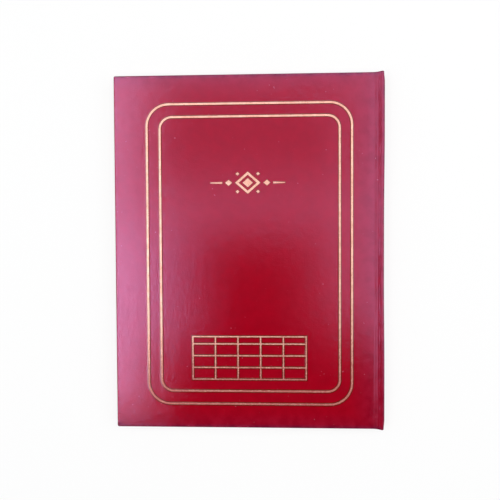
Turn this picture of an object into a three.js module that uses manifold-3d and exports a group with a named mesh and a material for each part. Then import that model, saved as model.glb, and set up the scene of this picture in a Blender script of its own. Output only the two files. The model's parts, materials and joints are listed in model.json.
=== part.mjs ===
// A case-bound ledger book with a right-hand binding, lying closed on its back cover.
// Millimetres. +X points to the spine, +Y to the head of the pages, +Z out of the front cover.
// The origin is under the middle of the closed book, on the surface that it lies on.

import * as THREE from "three";
import { mergeVertices } from "three/addons/utils/BufferGeometryUtils.js";
import Module from "manifold-3d";

const wasm = await Module();
wasm.setup();

// Case: boards, spine strip and the leatherette that covers them

const BOOK_WIDTH = 221;
const BOARD_HEIGHT = 290;
const BOARD_THICKNESS = 2.0;
const BOARD_CORNER = 0.9;
const BOARD_EDGE = 0.45;
const CLOTH = 0.4;
const TURN_IN = 15;
const SPINE_CARD = 1.0;
const SPINE_CARD_ROUND = 0.2;
const SPINE_OVERHANG = 1.0;
const SHOULDER_DROP = 0.5;
const SHOULDER_ROUND = 1.2;
const SPINE_END_ROUND = 0.5;

// Joint: the hinge groove between board and spine

const HINGE_BEHIND_SPINE = 1.1;
const HINGE_TO_BOARD = 4.8;
const GROOVE_DEPTH = 0.9;
const GROOVE_FALL = 3.4;
const GROOVE_RISE = 2.2;
const GROOVE_STEPS = 14;

// Text block: sewn sections of folded sheets

const SQUARE = 3.5;
const PAPER = 0.085;
const LEAF_GAP = 0.02;
const SECTIONS = 8;
const LEAVES_PER_SECTION = 12;
const TURNING_LEAVES = 4;
const FOLD = 1.2;
const LEAF_FROM_HINGE = 2.0;
const ENDPAPER = 0.18;

// Spine of the block: thread, mull, lining, bands

const THREAD = 0.3;
const STITCH_SWING = 1.1;
const SEWING_STATIONS = 4;
const SEWING_SPREAD = 168;
const KETTLE_FROM_EDGE = 18;
const MULL = 0.25;
const MULL_HEIGHT = 226;
const MULL_FLAP = 27;
const LINING = 0.2;
const LINING_INSET = 1.5;
const HOLLOW = 0.3;
const BAND_BEAD = 0.9;
const BAND_TAPE = 0.25;
const BAND_DROP = 11;

// Clearances between sheets that lie on each other, and at cut edges

const SHEET_GAP = 0.03;
const STEP_GAP = 0.3;

// How far a cutting block reaches past what it cuts

const CUT_PAST = 1;

// Depths inward from a cover's outer face, the same at the front and the back

const boardOuter = CLOTH + SHEET_GAP;
const boardInner = boardOuter + BOARD_THICKNESS;
const turnInOuter = boardInner + SHEET_GAP;
const turnInInner = turnInOuter + CLOTH;
const pasteRise = Math.max(CLOTH, MULL) + SHEET_GAP;
const pasteInner = boardInner + SHEET_GAP + pasteRise + ENDPAPER;
const flyOuter = pasteInner + SHEET_GAP;
const flyInner = flyOuter + ENDPAPER;
const blockFrom = flyInner + SHEET_GAP;

const leafPitch = PAPER + LEAF_GAP;
const sectionPitch = LEAVES_PER_SECTION * leafPitch;
const blockThickness = SECTIONS * sectionPitch - LEAF_GAP;
const bookThickness = 2 * blockFrom + blockThickness;
const blockTop = blockFrom + blockThickness;

// Places across the book, from the spine's outer face inward to the fore edge

const spineFace = BOOK_WIDTH / 2;
const cardOuter = spineFace - CLOTH - SHEET_GAP;
const cardInner = cardOuter - SPINE_CARD;
const spineTurnInOuter = cardInner - SHEET_GAP;
const spineTurnInInner = spineTurnInOuter - CLOTH;
const liningOuter = spineTurnInInner - HOLLOW;
const liningInner = liningOuter - LINING;
const mullOuter = liningInner - SHEET_GAP;
const mullInner = mullOuter - Math.max(MULL, BAND_TAPE);
const blockSpine = mullInner - SHEET_GAP - THREAD - SHEET_GAP;
const hingeLine = blockSpine - HINGE_BEHIND_SPINE;
const boardSpineEdge = hingeLine - HINGE_TO_BOARD;
const leafStart = hingeLine - LEAF_FROM_HINGE;
const shoulderCrown = spineFace - Math.max(SHOULDER_ROUND, CLOTH + SPINE_CARD / 2);
const foreEdge = -BOOK_WIDTH / 2;
const pageForeEdge = foreEdge + SQUARE;

const boardHalf = BOARD_HEIGHT / 2;
const spineHalf = boardHalf + SPINE_OVERHANG;
const pageHalf = boardHalf - SQUARE;

// Materials

const leatherette = new THREE.MeshStandardMaterial({ color: 0xa4062c, roughness: 0.42 });
const greyboard = new THREE.MeshStandardMaterial({ color: 0x8d8579, roughness: 0.9 });
const endpaperStock = new THREE.MeshStandardMaterial({ color: 0xf1ece0, roughness: 0.85 });
const ledgerPaper = new THREE.MeshStandardMaterial({ color: 0xf4f0e2, roughness: 0.85 });
const openWeave = new THREE.MeshStandardMaterial({ color: 0xe9e4d6, roughness: 0.95 });
const kraft = new THREE.MeshStandardMaterial({ color: 0xb08a5b, roughness: 0.85 });
const linenThread = new THREE.MeshStandardMaterial({ color: 0xefe8d4, roughness: 0.8 });
const bandSilk = new THREE.MeshStandardMaterial({ color: 0xb2203a, roughness: 0.6 });

// Solids

function solidOf(geometry) {
  const bare = geometry.clone();
  bare.deleteAttribute("normal");
  bare.deleteAttribute("uv");
  const merged = mergeVertices(bare, 1e-4);
  const vertProperties = new Float32Array(merged.attributes.position.array);
  const triVerts = new Uint32Array(merged.index.array);
  return new wasm.Manifold(new wasm.Mesh({ numProp: 3, vertProperties, triVerts }));
}

function geometryOf(solid) {
  const mesh = solid.getMesh();
  const geometry = new THREE.BufferGeometry();
  geometry.setAttribute("position", new THREE.BufferAttribute(mesh.vertProperties, 3));
  geometry.setIndex(new THREE.BufferAttribute(mesh.triVerts, 1));
  geometry.computeVertexNormals();
  return geometry;
}

function box(x, y, z) {
  const geometry = new THREE.BoxGeometry(x[1] - x[0], y[1] - y[0], z[1] - z[0]);
  return geometry.translate((x[0] + x[1]) / 2, (y[0] + y[1]) / 2, (z[0] + z[1]) / 2);
}

function joined(...geometries) {
  const solids = geometries.map(solidOf);
  return geometryOf(solids.reduce((whole, next) => whole.add(next)));
}

function cutBy(geometry, ...tools) {
  return geometryOf(tools.map(solidOf).reduce((rest, tool) => rest.subtract(tool), solidOf(geometry)));
}

// A rectangle drawn as a shape with a radius for each corner, from the lower left anticlockwise.

function roundedRectangle(x, y, radii) {
  const [lowLeft, lowRight, highRight, highLeft] = radii;
  const shape = new THREE.Shape();
  shape.moveTo(x[0] + lowLeft, y[0]);
  shape.lineTo(x[1] - lowRight, y[0]);
  if (lowRight > 0) shape.absarc(x[1] - lowRight, y[0] + lowRight, lowRight, -Math.PI / 2, 0);
  shape.lineTo(x[1], y[1] - highRight);
  if (highRight > 0) shape.absarc(x[1] - highRight, y[1] - highRight, highRight, 0, Math.PI / 2);
  shape.lineTo(x[0] + highLeft, y[1]);
  if (highLeft > 0) shape.absarc(x[0] + highLeft, y[1] - highLeft, highLeft, Math.PI / 2, Math.PI);
  shape.lineTo(x[0], y[0] + lowLeft);
  if (lowLeft > 0) shape.absarc(x[0] + lowLeft, y[0] + lowLeft, lowLeft, Math.PI, 1.5 * Math.PI);
  return shape;
}

// A flat plate with rounded corners and rounded rims, such as a board.

function plate(x, y, z, corner, rim) {
  const outline = roundedRectangle(x, y, [corner, corner, corner, corner]);
  const geometry = new THREE.ExtrudeGeometry(outline, {
    depth: z[1] - z[0] - 2 * rim,
    bevelEnabled: true,
    bevelThickness: rim,
    bevelSize: rim,
    bevelOffset: -rim,
    bevelSegments: 3,
    curveSegments: 4,
  });
  return geometry.translate(0, 0, z[0] + rim);
}

// A profile drawn in X and Z, drawn out along Y between two places.

function drawnAlongY(profile, y, rim = 0) {
  const length = y[1] - y[0];
  const geometry = new THREE.ExtrudeGeometry(profile, {
    depth: length - 2 * rim,
    bevelEnabled: rim > 0,
    bevelThickness: rim,
    bevelSize: rim,
    bevelOffset: -rim,
    bevelSegments: 2,
    curveSegments: 5,
  });
  return geometry.rotateX(Math.PI / 2).translate(0, y[1] - rim, 0);
}

// Cover of one side, seen from its outer face inward: z is the depth from that face.

function boardGeometry() {
  const x = [foreEdge + CLOTH + SHEET_GAP, boardSpineEdge];
  const half = boardHalf - CLOTH - SHEET_GAP;
  return plate(x, [-half, half], [boardOuter, boardInner], BOARD_CORNER, BOARD_EDGE);
}

function coverClothGeometry() {
  const past = boardSpineEdge + BOARD_THICKNESS;
  const corner = BOARD_CORNER + CLOTH;
  const rim = BOARD_EDGE + CLOTH;
  const skin = plate([foreEdge, past], [-boardHalf, boardHalf], [0, turnInInner], corner, rim);
  const pocketFrom = foreEdge + CLOTH;
  const pocketHalf = boardHalf - CLOTH;
  const pocketDepths = [CLOTH, turnInOuter];
  const pocket = plate(
    [pocketFrom, past + corner], [-pocketHalf, pocketHalf], pocketDepths, BOARD_CORNER, BOARD_EDGE);
  const windowHalf = boardHalf - TURN_IN;
  const beyond = turnInInner + CUT_PAST;
  const turnInWindow = box(
    [foreEdge + TURN_IN, past + CUT_PAST], [-windowHalf, windowHalf], [boardInner, beyond]);
  const sideHalf = boardHalf + CUT_PAST;
  const spineSide = box(
    [boardSpineEdge, past + CUT_PAST], [-sideHalf, sideHalf], [-CUT_PAST, beyond]);
  return cutBy(skin, pocket, turnInWindow, spineSide);
}

// The pastedown is glued to the board, and steps up over the turned-in cloth and the mull flap.

function pastedownGeometry() {
  const low = boardInner + SHEET_GAP;
  const high = pasteInner;
  const outerX = [pageForeEdge, boardSpineEdge];
  const outerY = [-pageHalf, pageHalf];
  const stepX = [foreEdge + TURN_IN + STEP_GAP, boardSpineEdge - MULL_FLAP - STEP_GAP];
  const stepHalf = boardHalf - TURN_IN - STEP_GAP;
  const insideX = [stepX[0] + ENDPAPER, stepX[1] - ENDPAPER];
  const insideHalf = stepHalf - ENDPAPER;
  const wholeRim = box(outerX, outerY, [high - ENDPAPER, high]);
  const hole = box(insideX, [-insideHalf, insideHalf], [low + ENDPAPER, high + CUT_PAST]);
  const sunkPart = box(stepX, [-stepHalf, stepHalf], [low, high]);
  return cutBy(joined(wholeRim, sunkPart), hole);
}

function mullFlapGeometry() {
  const half = MULL_HEIGHT / 2;
  const z = [turnInOuter, turnInOuter + MULL];
  return box([boardSpineEdge - MULL_FLAP, boardSpineEdge], [-half, half], z);
}

function flyleafGeometry() {
  return box([pageForeEdge, leafStart], [-pageHalf, pageHalf], [flyOuter, flyInner]);
}

// The joint cloth dips into the groove and rises to the shoulder of the spine.

function eased(value, from, to) {
  return THREE.MathUtils.smoothstep(value, from, to);
}

function grooveDepth(x) {
  const fall = eased(x, boardSpineEdge, boardSpineEdge + GROOVE_FALL);
  const rise = eased(x, hingeLine - GROOVE_RISE / 2, hingeLine + GROOVE_RISE / 2);
  return GROOVE_DEPTH * fall - (GROOVE_DEPTH - SHOULDER_DROP) * rise;
}

function grooveLayer(from, to, y, reachesCrown = false) {
  const start = boardSpineEdge + SHEET_GAP;
  const end = spineTurnInInner - SHEET_GAP;
  const across = Array.from({ length: GROOVE_STEPS + 1 }, (_, step) =>
    THREE.MathUtils.lerp(start, end, step / GROOVE_STEPS));
  if (reachesCrown) across.push(shoulderCrown - SHEET_GAP);
  const outer = across.map((x) => new THREE.Vector2(x, grooveDepth(x) + from));
  const inner = across.map((x) => new THREE.Vector2(x, grooveDepth(x) + to)).reverse();
  return drawnAlongY(new THREE.Shape([...outer, ...inner]), y);
}

// The spine is longer than the boards, so the joint's ends run out to it on a slant.

function slantedToSpine(geometry) {
  const positions = geometry.attributes.position;
  for (let index = 0; index < positions.count; index += 1) {
    const x = positions.getX(index);
    const y = positions.getY(index);
    const share = eased(x, boardSpineEdge, shoulderCrown);
    positions.setY(index, y + Math.sign(y) * SPINE_OVERHANG * share);
  }
  return geometry;
}

function jointClothGeometry() {
  const turned = 2 * CLOTH + SHEET_GAP;
  const skin = grooveLayer(0, CLOTH, [-boardHalf, boardHalf], true);
  const ends = [-1, 1].flatMap((side) => {
    const edge = side * boardHalf;
    const wrapped = edge - side * CLOTH;
    const turnedTo = edge - side * TURN_IN;
    const ordered = (a, b) => [Math.min(a, b), Math.max(a, b)];
    return [
      grooveLayer(0, turned, ordered(edge, wrapped)),
      grooveLayer(CLOTH + SHEET_GAP, turned, ordered(edge, turnedTo)),
    ];
  });
  return slantedToSpine(joined(skin, ...ends));
}

// The mull's stretch through the joint: flat from the board, then round onto the block's spine.

function jointMullGeometry() {
  const low = turnInOuter;
  const end = blockFrom - SHEET_GAP;
  const bend = end - low;
  const centre = mullOuter - bend;
  const shape = new THREE.Shape();
  shape.moveTo(boardSpineEdge + SHEET_GAP, low);
  shape.absarc(centre, end, bend, -Math.PI / 2, 0);
  shape.absarc(centre, end, bend - MULL, 0, -Math.PI / 2, true);
  shape.lineTo(boardSpineEdge + SHEET_GAP, low + MULL);
  return drawnAlongY(shape, [-MULL_HEIGHT / 2, MULL_HEIGHT / 2]);
}

// The endpaper's stretch through the joint: from the pastedown to its fold, and back to the flyleaf.

function jointPaperGeometry() {
  const outerBend = (flyInner - pasteInner + ENDPAPER) / 2;
  const innerBend = SHEET_GAP / 2;
  const foldCentre = blockSpine - SHEET_GAP - outerBend;
  const level = pasteInner + SHEET_GAP / 2;
  const shape = new THREE.Shape();
  shape.moveTo(boardSpineEdge + SHEET_GAP, level - outerBend);
  shape.absarc(foldCentre, level, outerBend, -Math.PI / 2, Math.PI / 2);
  shape.lineTo(leafStart + SHEET_GAP, level + outerBend);
  shape.lineTo(leafStart + SHEET_GAP, level + innerBend);
  shape.absarc(foldCentre, level, innerBend, Math.PI / 2, -Math.PI / 2, true);
  shape.lineTo(boardSpineEdge + SHEET_GAP, level - innerBend);
  return drawnAlongY(shape, [-pageHalf, pageHalf]);
}

// Spine strip and the cloth wrapped round it

function spineCardProfile() {
  const z = [SHOULDER_DROP + CLOTH + SHEET_GAP, bookThickness - SHOULDER_DROP - CLOTH - SHEET_GAP];
  const outer = Math.max(SHOULDER_ROUND - CLOTH, SHEET_GAP);
  const radii = [SPINE_CARD_ROUND, outer, outer, SPINE_CARD_ROUND];
  return roundedRectangle([cardInner, cardOuter], z, radii);
}

function spineCardGeometry() {
  const half = spineHalf - CLOTH - SHEET_GAP;
  return drawnAlongY(spineCardProfile(), [-half, half]);
}

function spineClothGeometry() {
  const z = [SHOULDER_DROP, bookThickness - SHOULDER_DROP];
  const outerRound = SHOULDER_ROUND;
  const outline = roundedRectangle([spineTurnInInner, spineFace], z, [0, outerRound, outerRound, 0]);
  const skin = drawnAlongY(outline, [-spineHalf, spineHalf], SPINE_END_ROUND);

  const pocketRound = Math.max(SHOULDER_ROUND - CLOTH, SHEET_GAP);
  const pocketOutline = roundedRectangle(
    [spineTurnInOuter, spineFace - CLOTH], [z[0] + CLOTH, z[1] - CLOTH], [0, pocketRound, pocketRound, 0]);
  const pocketHalf = spineHalf - CLOTH;
  const pocket = drawnAlongY(pocketOutline, [-pocketHalf, pocketHalf]);

  const before = spineTurnInInner - CUT_PAST;
  const past = spineHalf + CUT_PAST;
  const under = -CUT_PAST;
  const over = bookThickness + CUT_PAST;
  const openHalf = spineHalf - TURN_IN;
  const openInside = box([before, spineTurnInOuter], [-openHalf, openHalf], [under, over]);
  const shoulders = [[under, z[0] + CLOTH], [z[1] - CLOTH, over]].map((depths) =>
    box([before, shoulderCrown], [-past, past], depths));
  const turnInEnd = 2 * CLOTH;
  const turnInTops = [[under, z[0] + turnInEnd], [z[1] - turnInEnd, over]].map((depths) =>
    box([before, spineTurnInOuter], [-past, past], depths));
  return cutBy(skin, pocket, openInside, ...shoulders, ...turnInTops);
}

// One sewn section: nested folded sheets, seen from the end as leaves that share a rounded fold.

function sectionGeometry(lowest, leaves) {
  const foldRound = sectionPitch / 2 - LEAF_GAP / 2;
  const top = lowest + sectionPitch - LEAF_GAP;
  const foldFrom = blockSpine - FOLD;
  const shape = new THREE.Shape();
  shape.moveTo(pageForeEdge, lowest);
  shape.absarc(blockSpine - foldRound, lowest + foldRound, foldRound, -Math.PI / 2, Math.PI / 2);
  shape.lineTo(foldFrom, top);
  for (let leaf = leaves - 1; leaf >= 0; leaf -= 1) {
    const under = lowest + leaf * leafPitch;
    shape.lineTo(foldFrom, under + PAPER);
    shape.lineTo(pageForeEdge, under + PAPER);
    if (leaf > 0) shape.lineTo(pageForeEdge, under);
    if (leaf > 0) shape.lineTo(foldFrom, under);
  }
  return drawnAlongY(shape, [-pageHalf, pageHalf]);
}

function turningLeafGeometry(under) {
  return box([pageForeEdge, leafStart], [-pageHalf, pageHalf], [under, under + PAPER]);
}

// Thread that links the sections' folds across the spine, swinging to each side of its station.

function stitchGeometry(y, swing) {
  const x = blockSpine + SHEET_GAP + THREAD / 2;
  const ends = [blockFrom + sectionPitch / 4, blockTop - sectionPitch / 4];
  const points = Array.from({ length: SECTIONS }, (_, section) => {
    const z = blockFrom + (section + 0.5) * sectionPitch;
    const side = section % 2 === 0 ? 1 : -1;
    return new THREE.Vector3(x, y + side * swing, z);
  });
  const route = new THREE.CatmullRomCurve3([
    new THREE.Vector3(x, y, ends[0]), ...points, new THREE.Vector3(x, y, ends[1]),
  ]);
  const thread = new THREE.Shape();
  thread.absarc(0, 0, THREAD / 2, 0, 2 * Math.PI);
  return new THREE.ExtrudeGeometry(thread, {
    steps: 4 * SECTIONS, curveSegments: 3, extrudePath: route, bevelEnabled: false,
  });
}

function mullGeometry() {
  const half = MULL_HEIGHT / 2;
  return box([mullOuter - MULL, mullOuter], [-half, half], [blockFrom, blockTop]);
}

function liningGeometry() {
  const half = pageHalf - LINING_INSET;
  return box([liningInner, liningOuter], [-half, half], [blockFrom, blockTop]);
}

// A band: a round bead on the head edge of the pages, with its tape glued down the block's spine.

function bandGeometry() {
  const bead = BAND_BEAD;
  const centre = { x: mullOuter - bead, y: pageHalf + SHEET_GAP + bead };
  const meets = Math.acos((bead - BAND_TAPE) / bead);
  const shape = new THREE.Shape();
  shape.moveTo(mullOuter - BAND_TAPE, pageHalf - BAND_DROP);
  shape.lineTo(mullOuter, pageHalf - BAND_DROP);
  shape.absarc(centre.x, centre.y, bead, 0, 2 * Math.PI - meets);
  const depth = blockThickness - 2 * SHEET_GAP;
  const geometry = new THREE.ExtrudeGeometry(shape, { depth, curveSegments: 8, bevelEnabled: false });
  return geometry.translate(0, 0, blockFrom + SHEET_GAP);
}

// The assembly. The front cover's pieces are the back cover's, turned over about the X axis.

function piece(name, geometry, material) {
  const mesh = new THREE.Mesh(geometry, material);
  mesh.name = name;
  return mesh;
}

function coverPieces(side) {
  const group = new THREE.Group();
  group.add(
    piece(`${side}_board`, boardGeometry(), greyboard),
    piece(`${side}_cover_cloth`, coverClothGeometry(), leatherette),
    piece(`${side}_joint_cloth`, jointClothGeometry(), leatherette),
    piece(`${side}_mull_flap`, mullFlapGeometry(), openWeave),
    piece(`${side}_joint_mull`, jointMullGeometry(), openWeave),
    piece(`${side}_pastedown`, pastedownGeometry(), endpaperStock),
    piece(`${side}_joint_paper`, jointPaperGeometry(), endpaperStock),
    piece(`${side}_flyleaf`, flyleafGeometry(), endpaperStock),
  );
  return group;
}

function numbered(stem, number) {
  return `${stem}_${String(number).padStart(2, "0")}`;
}

function textBlock() {
  const group = new THREE.Group();
  for (let number = 1; number <= SECTIONS; number += 1) {
    const lowest = blockFrom + (SECTIONS - number) * sectionPitch;
    const leaves = number === 1 ? LEAVES_PER_SECTION - TURNING_LEAVES : LEAVES_PER_SECTION;
    group.add(piece(numbered("section", number), sectionGeometry(lowest, leaves), ledgerPaper));
  }
  for (let number = 1; number <= TURNING_LEAVES; number += 1) {
    const under = blockTop - (number - 1) * leafPitch - PAPER;
    group.add(piece(numbered("leaf", number), turningLeafGeometry(under), ledgerPaper));
  }
  return group;
}

function spineOfBlock() {
  const group = new THREE.Group();
  group.add(
    piece("mull", mullGeometry(), openWeave),
    piece("spine_lining", liningGeometry(), kraft),
    piece("headband", bandGeometry(), bandSilk),
  );
  const tailband = piece("tailband", bandGeometry(), bandSilk);
  tailband.rotation.x = Math.PI;
  tailband.position.z = bookThickness;
  group.add(tailband);
  const kettle = pageHalf - KETTLE_FROM_EDGE;
  group.add(
    piece("kettle_stitch_head", stitchGeometry(kettle, STITCH_SWING / 2), linenThread),
    piece("kettle_stitch_tail", stitchGeometry(-kettle, STITCH_SWING / 2), linenThread),
  );
  for (let number = 1; number <= SEWING_STATIONS; number += 1) {
    const share = (number - 1) / (SEWING_STATIONS - 1) - 0.5;
    const station = stitchGeometry(-share * SEWING_SPREAD, STITCH_SWING);
    group.add(piece(`sewing_station_${number}`, station, linenThread));
  }
  return group;
}

function spineStrip() {
  const group = new THREE.Group();
  group.add(
    piece("spine_strip", spineCardGeometry(), greyboard),
    piece("spine_cloth", spineClothGeometry(), leatherette),
  );
  return group;
}

const backCover = coverPieces("back");
const frontCover = coverPieces("front");
frontCover.rotation.x = Math.PI;
frontCover.position.z = bookThickness;

const ledger = new THREE.Group();
ledger.add(backCover, textBlock(), spineOfBlock(), spineStrip(), frontCover);

console.log(
  `thickness ${bookThickness.toFixed(3)}, block ${blockFrom.toFixed(3)} to ${blockTop.toFixed(3)}, ` +
  `hinge line ${hingeLine.toFixed(3)}, board edge ${boardSpineEdge.toFixed(3)}`);

export default ledger;
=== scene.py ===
"""A case-bound ledger book: crimson leatherette cover with gold foil work, endpapers, ruled leaves.

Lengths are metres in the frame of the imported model: +X to the spine, +Y to the head of the pages,
+Z out of the front cover. Each class builds one group of pieces and dresses it.
"""

import json
import logging
import math
from dataclasses import dataclass
from enum import Enum
from functools import partial
from typing import Any, Callable, Iterable, Sequence

import bmesh
import bpy
from mathutils import Matrix, Vector, noise

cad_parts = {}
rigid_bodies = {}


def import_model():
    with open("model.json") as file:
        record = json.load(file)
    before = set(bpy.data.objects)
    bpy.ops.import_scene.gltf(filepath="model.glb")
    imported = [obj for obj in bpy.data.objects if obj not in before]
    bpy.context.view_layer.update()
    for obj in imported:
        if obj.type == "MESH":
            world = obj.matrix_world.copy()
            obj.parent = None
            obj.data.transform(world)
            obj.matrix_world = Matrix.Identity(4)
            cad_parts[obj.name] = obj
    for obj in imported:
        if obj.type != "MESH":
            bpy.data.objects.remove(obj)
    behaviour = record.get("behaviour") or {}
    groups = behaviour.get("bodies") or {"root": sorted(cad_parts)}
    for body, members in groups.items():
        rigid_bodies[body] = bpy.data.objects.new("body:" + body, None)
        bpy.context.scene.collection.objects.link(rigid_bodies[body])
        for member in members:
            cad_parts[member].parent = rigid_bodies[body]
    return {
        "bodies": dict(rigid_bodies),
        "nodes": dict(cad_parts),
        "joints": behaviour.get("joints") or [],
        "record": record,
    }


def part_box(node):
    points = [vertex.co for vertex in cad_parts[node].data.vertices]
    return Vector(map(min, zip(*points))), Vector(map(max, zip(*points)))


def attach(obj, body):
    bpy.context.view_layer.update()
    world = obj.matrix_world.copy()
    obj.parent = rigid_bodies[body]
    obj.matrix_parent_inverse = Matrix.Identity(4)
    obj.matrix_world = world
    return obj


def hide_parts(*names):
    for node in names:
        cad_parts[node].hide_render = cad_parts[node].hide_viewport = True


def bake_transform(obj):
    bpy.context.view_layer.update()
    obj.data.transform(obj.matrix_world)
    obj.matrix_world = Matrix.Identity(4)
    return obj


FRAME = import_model()

log = logging.getLogger("ledger_book")

MM = 0.001

# A point this close to a plane lies on it, and points closer than MERGED are one point.
NEAR = 1e-6
MERGED = 1e-7
# Faces that meet at a wider angle than this keep a crisp edge.
CRISP = math.radians(50)

# Attributes that a piece's points carry: where they lie in the closed book, and how worn they are,
# with the painted shade that darkens them.
REST_PLACE = "rest_place"
WEAR_AND_SHADE = "wear"

# The period of a Wave texture whose scale is 1: about a tenth of pi.
WAVE_PERIOD = 0.314
# The Mix node's colour sockets share their names with others, so they go by number.
FIRST = 6
SECOND = 7
MIXED = 2

Key = int | str
Place = tuple[float, float, float]
Spot = tuple[float, float]
Span = tuple[float, float]
Mesh = bmesh.types.BMesh
Piece = bpy.types.Object
Material = bpy.types.Material
Tree = bpy.types.NodeTree
Socket = bpy.types.NodeSocket
Adder = Callable[..., Socket]


class Side(Enum):
    """A cover's side of the book."""

    FRONT = "front"
    BACK = "back"


class Where(Enum):
    """What a material's pattern is laid out on."""

    NODE = "the object's own coordinates, for a piece that keeps its shape"
    SHEET = "the closed book's place of each point, for a piece that bends"


def eased(value: float, start: float, end: float) -> float:
    """Rise smoothly from 0 at start to 1 at end."""
    share = min(max((value - start) / (end - start), 0.0), 1.0)
    return share * share * (3 - 2 * share)


def evenly(start: float, end: float, step: float) -> list[float]:
    """Give places between start and end, about a step apart, without the two ends."""
    count = max(int(round(abs(end - start) / step)), 1)
    return [start + (end - start) * number / count for number in range(1, count)]


def linear(code: str) -> tuple[float, float, float, float]:
    """Turn an sRGB hex code into a linear colour.

    Args:
        code: the colour, such as "#A4062C".

    Returns:
        Red, green, blue and an alpha of one.
    """
    shares = [int(code[place : place + 2], 16) / 255 for place in (1, 3, 5)]
    red, green, blue = (
        share / 12.92 if share <= 0.04045 else ((share + 0.055) / 1.055) ** 2.4
        for share in shares
    )
    return red, green, blue, 1.0


def add_node(
    tree: Tree,
    kind: str,
    inputs: dict[Key, Any] | None = None,
    output: Key = 0,
    **settings: Any,
) -> Socket:
    """Add a node to a material's tree.

    Args:
        tree: the tree that the node goes into.
        kind: the node's type, without the leading "ShaderNode".
        inputs: for each input, by name or number, a value or the socket to link to it.
        output: the output to give back, by name or number.
        settings: the node's own properties.

    Returns:
        The socket of that output.
    """
    node = tree.nodes.new(f"ShaderNode{kind}")
    for name, value in settings.items():
        setattr(node, name, value)
    for key, value in (inputs or {}).items():
        if isinstance(value, bpy.types.NodeSocket):
            tree.links.new(value, node.inputs[key])
        else:
            node.inputs[key].default_value = value
    return node.outputs[output]


def blank_material(name: str) -> tuple[Material, Adder]:
    """Start a node material.

    Args:
        name: the material's name.

    Returns:
        The material with an empty tree, and the function that adds nodes to that tree.
    """
    material = bpy.data.materials.new(name)
    material.use_nodes = True
    material.node_tree.nodes.clear()
    return material, partial(add_node, material.node_tree)


def finish_tree(tree: Tree, shader: Socket, kind: str = "OutputMaterial") -> None:
    """Link a shader to the tree's output."""
    tree.links.new(shader, tree.nodes.new(f"ShaderNode{kind}").inputs["Surface"])


def stretch(source: Span, target: Span = (0.0, 1.0)) -> dict[Key, float]:
    """Give the inputs of a Map Range node that stretch one span over another."""
    return {1: source[0], 2: source[1], 3: target[0], 4: target[1]}


def pattern_place(add: Adder, where: Where) -> Socket:
    """Give the place that a pattern is worked out from, in metres.

    Args:
        add: adds a node to the material's tree.
        where: what the pattern is laid out on.

    Returns:
        The place's socket.
    """
    if where is Where.SHEET:
        return add("Attribute", output="Vector", attribute_name=REST_PLACE)
    return add("TexCoord", output="Object")


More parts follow.
